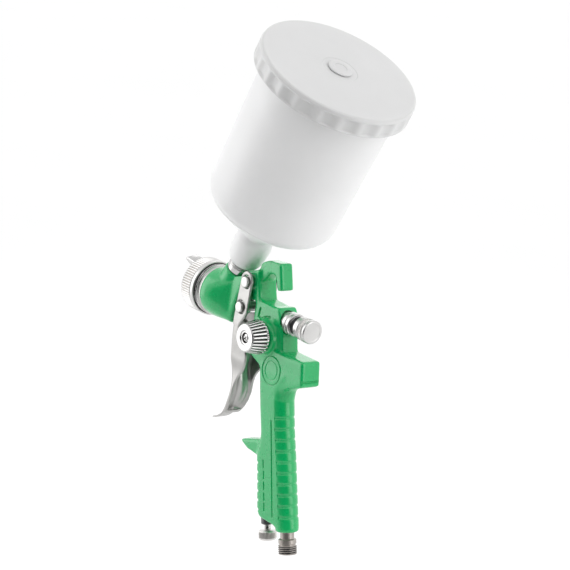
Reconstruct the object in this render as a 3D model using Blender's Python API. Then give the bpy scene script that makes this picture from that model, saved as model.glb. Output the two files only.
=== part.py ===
"""HVLP gravity-feed spray gun, as an assembly of separate pieces.

The design frame has its origin where the spray axis starts inside the head: +X runs back along the spray axis,
-Y is the left side with the fan knob, and +Z is up. The finished part's origin is the inner rest face of the
hanging hook, so every piece hangs from one empty that moves the design frame there.
Numbers are millimetres in the design frame; MM turns them into metres.
"""
import math

import bmesh
import bpy
from mathutils import Vector

MM = 0.001
GAP = 0.3  # between pieces that touch

# Frame and driving dimensions
HOOK_X = 60.0  # centre of the hook's rest face
HOOK_REST_Z = 28.3
BODY_HALF = 7.7  # half the thickness of the casting
GRIP_HALF = 8.2
HOOK_HALF = 5.2
HANDLE_LEAN = math.radians(13.5)  # from straight down, towards the rear
CUP_TILT = math.radians(27.8)  # from straight up, towards the rear
CUP_SEAT = (19.3, 25.9)  # x, z where the cup's neck meets its joint
AIR_VALVE_Z = -13.2
FAN_AXIS = (64.5, -13.2)  # x, z of the fan valve, which runs along Y
PIVOT = (40.6, 18.4)  # x, z of the trigger pivot
CROSS_PIN = (37.4, 0.0)
INLET_SEAT = (104.1, -139.2)  # x, z where the air inlet leaves the grip
CONTROL_SEAT = (80.6, -136.0)  # x, z where the air control leaves the grip
HORN_TURN = math.radians(18)  # how far the air cap is turned on the spray axis

# Radii
HEAD_R = 17.7
THREAD_R = 18.1
RING_R = 19.6
CUP_WALL = 2.0
CUP_R_LOW = 45.6
CUP_R_HIGH = 47.6
LID_R = 54.2
INLET_THREAD_R = 6.58  # G 1/4
INLET_BORE_R = 2.8
NEEDLE_R = 1.5
ARM_INNER = 9.3  # the trigger's arms lie between these two distances from the middle plane
ARM_OUTER = 11.5

ROUND = 24
ROUND_LARGE = 36
ROUND_SMALL = 16

COLOURS = {
    "green_paint": ((0.005, 0.30, 0.08), 0.25, 0.0),
    "chrome": ((0.80, 0.80, 0.80), 0.12, 1.0),
    "steel": ((0.55, 0.54, 0.52), 0.3, 1.0),
    "dark_steel": ((0.12, 0.12, 0.12), 0.4, 1.0),
    "brass": ((0.70, 0.52, 0.25), 0.3, 1.0),
    "white_plastic": ((0.80, 0.80, 0.78), 0.4, 0.0),
    "rubber": ((0.03, 0.03, 0.03), 0.7, 0.0),
    "nylon": ((0.72, 0.72, 0.68), 0.5, 0.0),
}


def clear_scene():
    for obj in list(bpy.data.objects):
        bpy.data.objects.remove(obj, do_unlink=True)


def make_material(node, kind):
    colour, roughness, metallic = COLOURS[kind]
    material = bpy.data.materials.new(node + "_" + kind)
    material.use_nodes = True
    shader = material.node_tree.nodes["Principled BSDF"]
    shader.inputs["Base Color"].default_value = (*colour, 1.0)
    shader.inputs["Roughness"].default_value = roughness
    shader.inputs["Metallic"].default_value = metallic
    return material


def add_object(name, bm, kind=None):
    """Turns a bmesh into an object; without a kind of material it is a helper that only a Boolean reads."""
    bmesh.ops.recalc_face_normals(bm, faces=bm.faces)
    mesh = bpy.data.meshes.new(name)
    bm.to_mesh(mesh)
    bm.free()
    obj = bpy.data.objects.new(name, mesh)
    bpy.context.scene.collection.objects.link(obj)
    obj.parent = design_frame
    if kind is None:
        obj.hide_render = True
        obj.display_type = "WIRE"
    else:
        mesh.materials.append(make_material(name, kind))
        mesh.shade_smooth()
        mesh.set_sharp_from_angle(angle=math.radians(35))
    return obj


def ring_mesh(rows, ends_closed):
    """A skin over rows of points. Rows of one point are poles; open ends are capped, closed ones joined."""
    bm = bmesh.new()
    rings = [[bm.verts.new(Vector(p) * MM) for p in row] for row in rows]
    pairs = list(zip(rings, rings[1:]))
    if ends_closed:
        pairs.append((rings[-1], rings[0]))
    else:
        for end in (rings[0], rings[-1]):
            if len(end) > 2:
                bm.faces.new(end)
    for a, b in pairs:
        for i in range(max(len(a), len(b))):
            corners = [a[i % len(a)], a[(i + 1) % len(a)], b[(i + 1) % len(b)], b[i % len(b)]]
            bm.faces.new(list(dict.fromkeys(corners)))
    return bm


def turned(name, outline, kind=None, count=ROUND):
    """A turned piece about local Z. The outline's (radius, height) pairs go once round the section."""
    rows = []
    for radius, height in outline:
        steps = count if radius > 0 else 1
        angles = [2 * math.pi * i / count for i in range(steps)]
        rows.append([(radius * math.cos(a), radius * math.sin(a), height) for a in angles])
    return add_object(name, ring_mesh(rows, outline[0][0] > 0), kind)


def prism(name, outline, low, high, kind=None):
    """An (x, z) outline carried from y = low to y = high."""
    rows = [[(x, y, z) for x, z in outline] for y in (low, high)]
    return add_object(name, ring_mesh(rows, False), kind)


def loft(name, rows, kind=None):
    return add_object(name, ring_mesh(rows, False), kind)


def along_x(obj, z=0.0):
    """Local height becomes x."""
    obj.rotation_euler = (0, math.pi / 2, 0)
    obj.location = (0, 0, z * MM)
    return obj


def along_left(obj, x, z):
    """Local height becomes the distance to the left of the middle plane."""
    obj.rotation_euler = (math.pi / 2, 0, 0)
    obj.location = (x * MM, 0, z * MM)
    return obj


def along_handle(obj, seat):
    """Local height runs down the handle's axis from the seat."""
    obj.rotation_euler = (0, math.pi - HANDLE_LEAN, 0)
    obj.location = (seat[0] * MM, 0, seat[1] * MM)
    return obj


def along_cup(obj):
    """Local height runs up the cup's axis from its seat."""
    obj.rotation_euler = (0, CUP_TILT, 0)
    obj.location = (CUP_SEAT[0] * MM, 0, CUP_SEAT[1] * MM)
    return obj


def combine(obj, others, operation):
    for other in others:
        modifier = obj.modifiers.new(operation.lower() + "_" + other.name, "BOOLEAN")
        modifier.operation = operation
        modifier.solver = "EXACT"
        modifier.object = other


def cylinder(name, radius, low, high, count=ROUND):
    """A helper cylinder about local Z."""
    return turned(name, [(0, low), (radius, low), (radius, high), (0, high)], count=count)


def arc(centre, radius, start, end, steps):
    """Points of an arc in the XZ plane, angles in degrees from +X towards +Z."""
    points = []
    for i in range(steps + 1):
        a = math.radians(start + (end - start) * i / steps)
        points.append((centre[0] + radius * math.cos(a), centre[1] + radius * math.sin(a)))
    return points


def between(points, value):
    """Reads y at x = value from (x, y) points joined by straight lines."""
    for (x0, y0), (x1, y1) in zip(points, points[1:]):
        if min(x0, x1) <= value <= max(x0, x1):
            return y0 + (y1 - y0) * (value - x0) / (x1 - x0)
    return points[-1][1]


# --- Gun body ---------------------------------------------------------------------------------------------

HEAD_STATIONS = (  # x at z = 0, slant of the section, half width, bottom z, top z, squareness
    (-3.5, 0.0, 17.7, -17.7, 17.7, 2.0),
    (2.0, 0.0, 17.7, -17.7, 17.7, 2.0),
    (8.0, 0.02, 16.0, -17.3, 17.4, 2.2),
    (14.5, 0.05, 12.8, -16.7, 17.0, 2.7),
    (20.9, 0.07, 9.0, -16.2, 16.5, 5.0),
    (26.9, 0.285, 8.6, -16.6, 18.0, 6.0),
)


def head_section(x, slant, half, bottom, top, squareness):
    """A superellipse in the YZ plane, leaning along X."""
    row = []
    middle = (top + bottom) / 2
    tall = (top - bottom) / 2
    for i in range(ROUND_LARGE):
        a = 2 * math.pi * i / ROUND_LARGE
        c, s = math.cos(a), math.sin(a)
        y = half * math.copysign(abs(c) ** (2 / squareness), c)
        z = middle + tall * math.copysign(abs(s) ** (2 / squareness), s)
        row.append((x + slant * z, y, z))
    return row


GRIP_FRONT = (  # (z, x) of the grip's front edge, going down
    (-33.0, 59.0), (-37.8, 60.1), (-57.7, 64.2), (-80.0, 69.8), (-86.0, 69.5), (-94.0, 67.8),
    (-112.5, 71.8), (-132.7, 75.9), (-136.2, 79.0),
)
GRIP_REAR = (  # (z, x) of its back
    (-33.0, 98.0), (-41.0, 93.5), (-45.0, 90.2), (-52.4, 89.2), (-72.0, 93.8), (-91.5, 99.5),
    (-111.0, 104.6), (-130.6, 109.7), (-136.2, 111.2),
)
GRIP_STATIONS = (-33, -37.8, -41, -45, -52.4, -64, -72, -80, -86, -94, -103, -112.5, -122, -132.7, -136.2)
FRONT_ROUND = 4.5


def grip_section(z):
    """A D-shaped slice of the grip: soft corners in front, flat sides, and a round back."""
    front = between(GRIP_FRONT, z)
    rear = between(GRIP_REAR, z)
    side = GRIP_HALF - FRONT_ROUND
    row = [(front + FRONT_ROUND - FRONT_ROUND * math.cos(a), -side - FRONT_ROUND * math.sin(a), z)
           for a in [math.radians(30 * i) for i in range(4)]]
    row += [(rear - GRIP_HALF + GRIP_HALF * math.sin(a), -GRIP_HALF * math.cos(a), z)
            for a in [math.radians(18 * i) for i in range(11)]]
    row += [(x, -y, z) for x, y, z in reversed(row[:4])]
    return row


SPINE = (  # the casting between the head and the grip, seen from the side
    [(17.0, 6.8), (17.0, 15.5), (29.0, 19.5), (36.5, 25.0), (48.3, 28.5), (49.6, 20.4), (53.1, 8.8), (68.1, 8.0)]
    + [(74.1, 9.2), (77.2, 5.0), (82.2, -19.6), (106.4, -19.2), (108.7, -35.6), (105.7, -37.2), (93.5, -41.0)]
    + [(88.0, -44.0), (66.0, -44.0), (62.0, -35.3), (47.6, -29.9), (48.2, 6.8)]
)
HOOK = (
    [(45.0, 18.0), (45.6, 31.5), (48.0, 33.9), (53.2, 36.3), (67.6, 37.5), (72.4, 20.0), (66.9, 18.6)]
    + [(63.0, HOOK_REST_Z), (57.0, HOOK_REST_Z), (49.6, 20.4), (50.5, 16.0), (48.0, 15.0)]
)
SPUR = [(74.0, -83.0), (68.6, -84.9), (48.6, -91.2), (47.6, -92.0), (49.2, -93.6), (55.6, -96.2), (66.3, -97.0),
        (74.0, -99.0)]


def make_body():
    body = loft("gun_body", [head_section(*station) for station in HEAD_STATIONS], "green_paint")
    collar = turned("collar_form", [(0, -14), (THREAD_R, -14), (THREAD_R, -6.2), (16.4, -6.2), (16.4, 0), (0, 0)],
                    count=ROUND_LARGE)
    valve_boss = cylinder("valve_boss_form", 7.6, 45, 52)
    fan_boss = turned("fan_boss_form", [(0, 4), (12, 4), (12, 11.7), (11.2, 12.5), (0, 12.5)])
    column = turned("column_form", [(0, -12), (8.1, -12), (8.1, -0.8), (7.3, 0), (0, 0)])
    cup_boss = turned("cup_boss_form", [(0, -32), (12.0, -32), (11.2, -18), (10.2, -9), (9.9, -6.8), (9.2, -6.3), (0, -6.3)])
    forms = [
        along_x(collar),
        along_cup(cup_boss),
        prism("spine_form", SPINE, -BODY_HALF, BODY_HALF),
        prism("hook_form", HOOK, -HOOK_HALF, HOOK_HALF),
        loft("grip_form", [grip_section(z) for z in GRIP_STATIONS]),
        prism("spur_form", SPUR, -5.6, 5.6),
        along_x(valve_boss, AIR_VALVE_Z),
        along_left(fan_boss, *FAN_AXIS),
        along_handle(column, INLET_SEAT),
    ]
    combine(body, forms, "UNION")
    combine(body, body_bores(), "DIFFERENCE")
    return body


def body_bores():
    """Everything drilled into the casting."""
    air_ring = turned("air_ring_bore", [(9.6, -20), (14.6, -20), (14.6, -8), (9.6, -8)])
    return [
        along_x(cylinder("nozzle_bore", 7.0, -20, 4.0)),
        along_x(air_ring),
        along_x(cylinder("fluid_bore", 3.7, 3, 40)),
        along_cup(cylinder("joint_bore", 6.8, -20.3, 0)),
        along_cup(cylinder("joint_spot_face", 9.7, -6.2, 12)),
        along_cup(cylinder("cup_passage", 3.6, -28.5, -18, ROUND_SMALL)),
        along_x(cylinder("needle_bore", 3.2, 44, 66)),
        along_x(cylinder("spring_bore", 5.3, 62, 75)),
        along_x(cylinder("sleeve_bore", 7.0, 70, 90)),
        along_x(cylinder("sleeve_spot_face", 9.4, 79, 90)),
        along_x(cylinder("air_valve_bore", 5.0, 40, 72), AIR_VALVE_Z),
        along_left(cylinder("fan_bore", 5.3, 4, 20), *FAN_AXIS),
        along_left(cylinder("pivot_bore", 2.8, -20, 20, ROUND_SMALL), *PIVOT),
        along_handle(cylinder("inlet_bore", 5.9, -13, 5), INLET_SEAT),
        along_handle(cylinder("handle_passage", 4.2, -127, -10, ROUND_SMALL), INLET_SEAT),
        along_handle(cylinder("control_bore", 3.8, -20, 10, ROUND_SMALL), CONTROL_SEAT),
        along_handle(cylinder("control_counterbore", 4.8, -1.5, 10, ROUND_SMALL), CONTROL_SEAT),
        along_x(cylinder("control_passage", 2.2, 80, 100, ROUND_SMALL), -123.0),
    ]


# --- Cup and its joint ------------------------------------------------------------------------------------

CUP_OUTSIDE = [(8.9, 0.9), (10.9, 3.0), (12.3, 6.6), (12.8, 11.0), (12.5, 24.0), (14.0, 29.5), (18.0, 33.6),
               (42.4, 49.6), (44.6, 51.2), (CUP_R_LOW, 54.0), (CUP_R_HIGH, 154.0), (49.3, 155.0),
               (49.3, 159.0), (CUP_R_HIGH, 160.0), (CUP_R_HIGH, 162.8)]
CUP_INSIDE = [(CUP_R_HIGH - CUP_WALL, 162.8), (CUP_R_LOW - CUP_WALL, 55.0), (42.0, 52.4), (15.0, 34.4),
              (7.0, 26.0), (7.0, 0.9)]


def make_cup():
    along_cup(turned("cup_body", CUP_OUTSIDE + CUP_INSIDE, "white_plastic", ROUND_LARGE))
    joint = [(4.4, -20.0), (6.5, -20.0), (6.5, -6.0), (8.9, -6.0), (9.1, -5.5), (9.1, -0.2), (8.6, 0.5),
             (6.6, 0.5), (6.6, 14.0), (4.4, 14.0)]
    along_cup(turned("fluid_inlet_joint", joint, "chrome"))
    strainer = [(5.4, 14.4), (6.5, 14.4), (6.5, 44.0), (0, 44.0), (0, 42.8), (5.4, 42.8)]
    along_cup(strainer_mesh("cup_filter", strainer))
    lid = [(50.2, 152.9), (LID_R, 152.9), (LID_R, 155.5), (53.8, 163.4), (53.1, 165.2), (51.4, 166.0),
           (3.2, 166.0), (3.2, 163.4), (49.9, 163.4)]
    along_cup(turned("cup_lid", lid, "white_plastic", ROUND_LARGE))
    plug = [(0, 159.5), (1.6, 159.5), (2.6, 160.5), (2.6, 166.3), (8.5, 166.3), (8.5, 167.6), (7.6, 168.4),
            (0, 168.4)]
    along_cup(turned("lid_vent_plug", plug, "white_plastic"))


def strainer_mesh(name, outline):
    """The section touches the axis in the middle of its list, so it starts again from there."""
    start = next(i for i, (radius, _) in enumerate(outline) if radius == 0)
    return turned(name, outline[start + 1:] + outline[:start + 1], "nylon", ROUND_SMALL)


# --- Head pieces ------------------------------------------------------------------------------------------

def make_head_pieces():
    nozzle = [(2.3, 3.5), (2.3, -19.5), (0.9, -22.5), (0.9, -24.8), (1.7, -24.8), (1.9, -23.4), (3.8, -21.2),
              (5.4, -19.6), (5.4, -18.8), (8.6, -18.8), (8.6, -16.9), (6.7, -16.9), (6.7, 3.5)]
    along_x(turned("fluid_nozzle", nozzle, "brass"))
    baffle = [(7.2, -16.6), (7.2, -14.3), (17.6, -14.3), (17.6, -16.6)]
    along_x(turned("air_baffle", baffle, "dark_steel"))
    ring = [(18.4, -9.2), (19.1, -9.2), (RING_R, -9.8), (RING_R, -23.2), (18.8, -24.2), (17.3, -24.2),
            (17.3, -22.4), (18.4, -22.4)]
    along_x(turned("air_cap_ring", ring, "chrome", ROUND_LARGE))
    cap = [(2.5, -24.7), (7.0, -25.0), (12.0, -24.4), (16.4, -22.1), (17.9, -22.1), (17.9, -18.3), (16.2, -18.3),
           (16.2, -19.8), (10.0, -22.1), (4.8, -22.9), (2.5, -23.6)]
    cap_piece = along_x(turned("air_cap", cap, "chrome", ROUND_LARGE))
    combine(cap_piece, [horn("upper_horn_form", 1), horn("lower_horn_form", -1)], "UNION")


def horn(name, side):
    """One air horn, rising from the cap's face on the given side of the spray axis."""
    profile = [(-23.0, 9.8), (-23.0, 15.9), (-35.0, 16.3), (-37.8, 15.9), (-38.0, 14.0), (-27.5, 9.8)]
    obj = prism(name, [(x, side * z) for x, z in profile], -4.4, 4.4)
    obj.rotation_euler = (HORN_TURN, 0, 0)
    return obj


# --- Needle line ------------------------------------------------------------------------------------------

def make_needle_line():
    needle = [(0, -25.4), (0.25, -25.3), (0.6, -24.6), (0.6, -22.8), (NEEDLE_R, -18.8), (NEEDLE_R, 41.4),
              (2.6, 41.4), (2.6, 45.6), (NEEDLE_R, 45.6), (NEEDLE_R, 83.5), (0, 83.5)]
    along_x(turned("fluid_needle", needle, "steel", ROUND_SMALL))
    packing = [(1.8, 20.4), (3.4, 20.4), (3.4, 23.9), (1.8, 23.9)]
    along_x(turned("needle_packing", packing, "nylon", ROUND_SMALL))
    nut = [(1.9, 24.2), (3.4, 24.2), (3.4, 28.9), (4.3, 28.9), (4.3, 31.8), (3.9, 32.2), (1.9, 32.2)]
    along_x(turned("needle_packing_nut", nut, "brass", ROUND_SMALL))
    collar = [(1.8, 71.6), (4.6, 71.6), (4.9, 71.9), (4.9, 75.1), (1.8, 75.1)]
    along_x(turned("needle_collar", collar, "brass", ROUND_SMALL))
    along_x(spring("needle_spring", 75.5, 90.1, 3.6, 0.6, 5))
    sleeve = [(5.4, 70.4), (6.7, 70.4), (6.7, 79.3), (7.4, 79.3), (7.8, 79.8), (7.8, 86.0), (7.4, 86.5),
              (6.3, 86.5), (6.3, 94.0), (5.4, 94.0)]
    along_x(turned("needle_sleeve", sleeve, "chrome"))
    seat = [(0, 90.5), (5.0, 90.5), (5.0, 93.0), (2.0, 93.0), (2.0, 96.3), (0, 96.3)]
    along_x(turned("needle_spring_seat", seat, "steel", ROUND_SMALL))
    knob = [(0, 96.6), (6.8, 96.6), (6.8, 91.5), (7.7, 91.5), (7.7, 95.9), (7.0, 96.2), (7.0, 96.6), (8.0, 96.9),
            (8.0, 100.4), (7.2, 100.7), (7.2, 101.1), (8.0, 101.4), (8.0, 103.2), (7.5, 103.7), (0, 103.7)]
    along_x(turned("needle_knob", knob, "chrome"))


def spring(name, low, high, mean_radius, wire_radius, turns):
    """A coil spring about local Z, between two heights."""
    steps = 12 * turns
    sides = 6
    rise = high - low - 2 * wire_radius
    rows = []
    for i in range(steps + 1):
        a = 2 * math.pi * turns * i / steps
        out = Vector((math.cos(a), math.sin(a), 0))
        middle = out * mean_radius + Vector((0, 0, low + wire_radius + rise * i / steps))
        tilt = Vector((-math.sin(a), math.cos(a), rise / (2 * math.pi * turns * mean_radius))).normalized()
        up = tilt.cross(out).normalized() * -1
        rows.append([middle + (out * math.cos(b) + up * math.sin(b)) * wire_radius
                     for b in [2 * math.pi * j / sides for j in range(sides)]])
    return add_object(name, ring_mesh(rows, False), "steel")


# --- Air valve --------------------------------------------------------------------------------------------

def make_air_valve():
    bushing = [(2.0, 42.9), (5.8, 42.9), (6.2, 43.3), (6.2, 44.7), (4.7, 44.7), (4.7, 47.2), (2.0, 47.2)]
    along_x(turned("air_valve_bushing", bushing, "brass", ROUND_SMALL), AIR_VALVE_Z)
    seal = [(2.2, 47.5), (4.7, 47.5), (4.7, 49.5), (2.2, 49.5)]
    along_x(turned("air_valve_seal", seal, "rubber", ROUND_SMALL), AIR_VALVE_Z)
    stem = [(0, 33.1), (0.9, 33.2), (1.6, 34.2), (1.6, 49.9), (4.2, 49.9), (4.2, 52.2), (1.5, 52.2), (1.5, 57.0),
            (0, 57.0)]
    along_x(turned("air_valve_stem", stem, "steel", ROUND_SMALL), AIR_VALVE_Z)
    along_x(spring("air_valve_spring", 52.6, 71.6, 3.2, 0.55, 6), AIR_VALVE_Z)


# --- Trigger ----------------------------------------------------------------------------------------------

TRIGGER_STATIONS = (  # z, front x, rear x, outer half width
    (-8.0, 31.0, 41.5, 11.5), (-12.0, 30.6, 38.4, 11.5), (-20.0, 30.0, 37.8, 11.2), (-24.0, 29.7, 41.0, 10.9),
    (-28.5, 29.5, 47.4, 10.5), (-33.0, 29.4, 48.4, 10.1), (-38.0, 29.4, 47.6, 10.0), (-44.0, 29.6, 44.0, 8.4),
    (-50.0, 30.2, 40.2, 7.6), (-56.0, 30.6, 37.5, 7.5), (-62.0, 30.0, 35.6, 7.5), (-68.0, 28.3, 34.0, 7.4),
    (-74.0, 25.8, 31.6, 7.2), (-79.0, 23.2, 28.4, 6.4),
)
PLATE = 2.0  # thickness of the trigger's flanges and web


def trigger_section(z, front, rear, half):
    inner = half - PLATE
    side = [(rear, -half, z), (front + 1.2, -half, z), (front, -half + 1.6, z)]
    inside = [(front + PLATE, -inner, z), (rear, -inner, z)]
    outer = side + [(x, -y, z) for x, y, z in reversed(side)]
    return outer + [(x, -y, z) for x, y, z in reversed(inside)] + inside


def make_trigger():
    trigger = loft("trigger", [trigger_section(*station) for station in TRIGGER_STATIONS], "chrome")
    top = arc((40.2, 19.8), 6.8, 0, 180, 10)
    arm = top + [(31.6, 0.0), (30.9, -13.0), (37.8, -13.5), (40.5, -10.0), (45.6, -5.0)]
    lip_upper = arc((5.0, -64.0), 23.6, -30, -76, 6)
    lip_lower = arc((5.0, -64.0), 25.2, -76, -30, 6)
    bottom = [(23.9, -77.0), (30.0, -77.0), (28.0, -79.6), (22.5, -81.5)]
    forms = [
        prism("left_arm_form", arm, -ARM_OUTER, -ARM_INNER),
        prism("right_arm_form", arm, ARM_INNER, ARM_OUTER),
        prism("lip_form", lip_upper + lip_lower, -5.6, 5.6),
        prism("blade_end_form", bottom, -6.2, 6.2),
    ]
    combine(trigger, forms, "UNION")
    holes = [
        along_left(cylinder("arm_pivot_hole", 4.7, -20, 20), *PIVOT),
        along_left(cylinder("arm_cross_hole", 4.7, -20, 20), *CROSS_PIN),
    ]
    combine(trigger, holes, "DIFFERENCE")
    set_origin(trigger, PIVOT)
    stud = [(0, -3.0), (1.6, -3.0), (1.6, -9.4), (2.5, -9.4), (2.5, 8.3), (4.3, 8.3), (4.3, 11.0), (3.9, 11.3),
            (0, 11.3)]
    along_left(turned("trigger_pivot_stud", stud, "chrome", ROUND_SMALL), *PIVOT)
    screw = [(0, -11.3), (3.9, -11.3), (4.3, -10.9), (4.3, -9.7), (1.3, -9.7), (1.3, -3.4), (0, -3.4)]
    along_left(turned("trigger_pivot_screw", screw, "chrome", ROUND_SMALL), *PIVOT)
    pin = [(0, -11.2), (3.9, -11.2), (4.3, -10.8), (4.3, -9.2), (3.6, -9.2), (3.6, 8.3), (3.1, 8.3), (3.1, 9.1),
           (4.3, 9.1), (4.3, 10.8), (3.9, 11.2), (0, 11.2)]
    cross_pin = along_left(turned("trigger_cross_pin", pin, "chrome", ROUND_SMALL), *CROSS_PIN)
    needle_hole = cylinder("cross_pin_needle_hole", 2.2, CROSS_PIN[0] - 8, CROSS_PIN[0] + 8, ROUND_SMALL)
    combine(cross_pin, [along_x(needle_hole)], "DIFFERENCE")
    clip = [(3.4, 8.45), (5.4, 8.45), (5.4, 8.95), (3.4, 8.95)]
    along_left(turned("cross_pin_clip", clip, "steel", ROUND_SMALL), *CROSS_PIN)


def set_origin(obj, point):
    """Moves the object's origin to the (x, z) point without moving its shape."""
    offset = Vector((point[0] * MM, 0, point[1] * MM))
    for vertex in obj.data.vertices:
        vertex.co -= offset
    obj.location += offset


# --- Fan valve --------------------------------------------------------------------------------------------

def make_fan_valve():
    housing = [(3.0, 5.6), (5.0, 5.6), (5.0, 12.8), (7.6, 12.8), (7.6, 16.0), (4.8, 16.0), (4.8, 19.0),
               (3.0, 19.0)]
    along_left(turned("fan_valve_housing", housing, "chrome", ROUND_SMALL), *FAN_AXIS)
    stem = [(0, 5.3), (0.8, 5.4), (2.4, 7.4), (2.4, 9.0), (1.6, 9.0), (1.6, 11.0), (2.4, 11.0), (2.4, 19.7),
            (1.4, 19.7), (1.4, 13.0), (0, 13.0)]
    along_left(turned("fan_valve_stem", stem, "steel", ROUND_SMALL), *FAN_AXIS)
    oring = [(1.85, 9.3), (2.75, 9.3), (2.75, 10.7), (1.85, 10.7)]
    along_left(turned("fan_valve_oring", oring, "rubber", ROUND_SMALL), *FAN_AXIS)
    knob = [(8.3, 13.3), (11.9, 13.3), (11.7, 15.6), (9.6, 24.9), (9.1, 25.7), (4.9, 25.7), (4.6, 24.9),
            (3.5, 24.9), (3.5, 22.0), (1.6, 22.0), (1.6, 20.0), (8.3, 20.0)]
    along_left(turned("fan_knob", knob, "chrome"), *FAN_AXIS)
    screw = [(0, 13.4), (1.1, 13.4), (1.1, 22.3), (3.2, 22.3), (3.2, 23.9), (2.4, 24.7), (0, 24.8)]
    along_left(turned("fan_knob_screw", screw, "chrome", ROUND_SMALL), *FAN_AXIS)


# --- Handle fittings --------------------------------------------------------------------------------------

def make_handle_fittings():
    nipple = [(INLET_BORE_R, -12.7), (5.6, -12.7), (5.6, -0.6), (4.8, 0.0), (4.8, 4.4), (6.2, 5.2), (6.2, 7.8),
              (5.5, 8.2), (INLET_THREAD_R, 9.0), (INLET_THREAD_R, 14.4), (6.1, 15.0), (INLET_BORE_R, 15.0)]
    along_handle(turned("air_inlet_nipple", nipple, "chrome"), INLET_SEAT)
    bush = [(2.8, -10.0), (3.5, -10.0), (3.5, 0.3), (4.4, 0.5), (4.4, 5.8), (3.9, 6.3), (2.8, 6.3)]
    along_handle(turned("air_control_bush", bush, "dark_steel", ROUND_SMALL), CONTROL_SEAT)
    stem = [(0, -17.0), (0.8, -16.8), (2.3, -13.5), (2.3, -6.0), (1.5, -6.0), (1.5, -4.0), (2.3, -4.0),
            (2.3, 9.7), (1.2, 9.7), (1.2, 15.2), (0, 15.2)]
    along_handle(turned("air_control_stem", stem, "steel", ROUND_SMALL), CONTROL_SEAT)
    oring = [(1.75, -5.7), (2.55, -5.7), (2.55, -4.3), (1.75, -4.3)]
    along_handle(turned("air_control_oring", oring, "rubber", ROUND_SMALL), CONTROL_SEAT)
    knob = [(0, 15.5), (1.5, 15.5), (1.5, 10.0), (5.8, 10.0), (6.3, 10.7), (6.3, 16.3), (5.8, 17.2), (0, 17.2)]
    along_handle(turned("air_control_knob", knob, "chrome"), CONTROL_SEAT)


clear_scene()
design_frame = bpy.data.objects.new("design_frame", None)
design_frame.location = (-HOOK_X * MM, 0, -HOOK_REST_Z * MM)
bpy.context.scene.collection.objects.link(design_frame)
make_body()
make_cup()
make_head_pieces()
make_needle_line()
make_air_valve()
make_trigger()
make_fan_valve()
make_handle_fittings()
bpy.context.view_layer.update()
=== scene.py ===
"""HVLP gravity-feed spray gun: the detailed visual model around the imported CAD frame.

Pieces are drawn in millimetres in the design frame that the CAD uses (+X back along the spray axis, -Y left,
+Z up, origin on the spray axis inside the head) and moved into the row frame in metres.
"""
import math

import bmesh
import bpy
import numpy as np
from mathutils import Matrix, Vector


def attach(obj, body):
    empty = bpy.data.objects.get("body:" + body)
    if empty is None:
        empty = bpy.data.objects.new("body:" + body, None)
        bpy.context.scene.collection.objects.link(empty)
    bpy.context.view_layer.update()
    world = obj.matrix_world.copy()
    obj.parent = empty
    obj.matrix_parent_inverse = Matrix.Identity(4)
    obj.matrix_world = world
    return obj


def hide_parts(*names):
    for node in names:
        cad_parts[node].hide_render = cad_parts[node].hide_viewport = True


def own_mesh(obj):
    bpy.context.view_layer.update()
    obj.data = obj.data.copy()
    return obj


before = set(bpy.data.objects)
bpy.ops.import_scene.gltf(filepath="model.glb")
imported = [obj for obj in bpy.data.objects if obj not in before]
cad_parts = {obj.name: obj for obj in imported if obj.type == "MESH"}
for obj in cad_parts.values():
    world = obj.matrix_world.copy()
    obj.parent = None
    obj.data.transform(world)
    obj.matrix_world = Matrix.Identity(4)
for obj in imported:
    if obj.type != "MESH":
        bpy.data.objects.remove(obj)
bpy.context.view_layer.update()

MM = 0.001
PER_METRE = 1000
ORIGIN = Vector((-60.0, 0.0, -28.3))  # the design frame's origin in the row frame
HANDLE_LEAN = math.radians(13.5)
CUP_TILT = math.radians(27.8)
CUP_SEAT = (19.3, 25.9)
AIR_VALVE_Z = -13.2
FAN_AXIS = (64.5, -13.2)
PIVOT = (40.6, 18.4)
CROSS_PIN = (37.4, 0.0)
INLET_SEAT = (104.1, -139.2)
CONTROL_SEAT = (80.6, -136.0)
HORN_TURN = math.radians(14)
RING_RIBS = 66
FAN_FLUTES = 26
FLUID_RIBS = 54
CONTROL_RIBS = 44
DEGREES = math.pi / 180
CUT_EDGE = math.radians(38)  # sharper than this, an edge left by a cut isn't shaded smooth


# --- Materials --------------------------------------------------------------------------------------------

NOISE_RANGE = (0.3, 0.7)  # what nearly all of a noise texture lies between


def new_material(name, colour, roughness, metallic=0.0):
    material = bpy.data.materials.new(name)
    material.use_nodes = True
    shader = material.node_tree.nodes["Principled BSDF"]
    shader.inputs["Base Color"].default_value = (*colour, 1.0)
    shader.inputs["Roughness"].default_value = roughness
    shader.inputs["Metallic"].default_value = metallic
    return material, material.node_tree, shader


def noise(tree, scale, detail):
    """Noise on the object's own coordinates; scale is in cycles per metre."""
    place = tree.nodes.new("ShaderNodeTexCoord")
    texture = tree.nodes.new("ShaderNodeTexNoise")
    texture.inputs["Scale"].default_value = scale
    texture.inputs["Detail"].default_value = detail
    tree.links.new(place.outputs["Object"], texture.inputs["Vector"])
    return texture.outputs["Fac"]


def spread(tree, source, low, high):
    """Maps noise onto the numbers between low and high."""
    node = tree.nodes.new("ShaderNodeMapRange")
    least, most = NOISE_RANGE
    for key, value in (("From Min", least), ("From Max", most), ("To Min", low), ("To Max", high)):
        node.inputs[key].default_value = value
    tree.links.new(source, node.inputs["Value"])
    return node.outputs["Result"]


def tint(tree, source, shader, low, high):
    """Maps noise onto the base colours between low and high."""
    ramp = tree.nodes.new("ShaderNodeValToRGB")
    ramp.color_ramp.elements[0].position = NOISE_RANGE[0]
    ramp.color_ramp.elements[0].color = (*low, 1)
    ramp.color_ramp.elements[1].position = NOISE_RANGE[1]
    ramp.color_ramp.elements[1].color = (*high, 1)
    tree.links.new(source, ramp.inputs["Fac"])
    tree.links.new(ramp.outputs["Color"], shader.inputs["Base Color"])


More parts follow.
